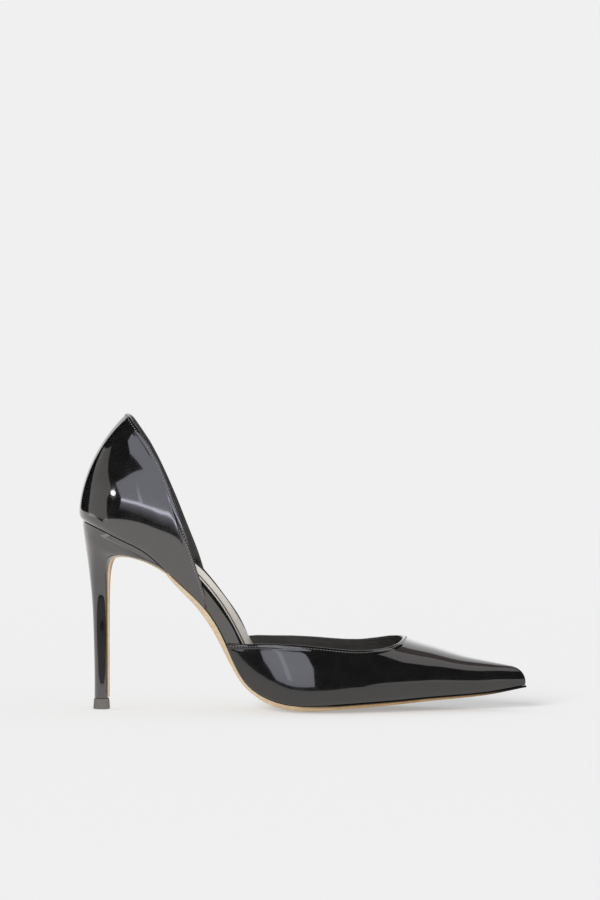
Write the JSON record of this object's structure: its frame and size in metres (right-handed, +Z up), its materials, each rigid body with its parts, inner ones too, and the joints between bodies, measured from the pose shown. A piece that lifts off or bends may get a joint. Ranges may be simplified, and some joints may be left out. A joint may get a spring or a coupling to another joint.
{
  "type": "pointed stiletto pump",
  "caption": "Black patent pointed-toe pump, open at both sides of the waist, with a peaked heel quarter, pale insole, thin tan leather sole and a tall wrapped stiletto heel.",
  "frame": {"origin": "middle of the shoe's outer box, on the floor that it stands on", "axes": "+X to the toe, +Y to the inner side of the foot, +Z up"},
  "size_m": [0.2314, 0.0744, 0.1546],
  "materials": {
    "patent_leather": "high gloss black patent",
    "sock_leather": "satin champagne",
    "sole_leather": "natural tan, satin edge",
    "heel_wrap": "high gloss black patent",
    "heel_tip": "matte dark grey"
  },
  "bodies": {
    "root": {"upper": "patent_leather", "insole": "sock_leather", "outsole": "sole_leather", "heel": "heel_wrap", "top_piece": "heel_tip"}
  },
  "joints": []
}
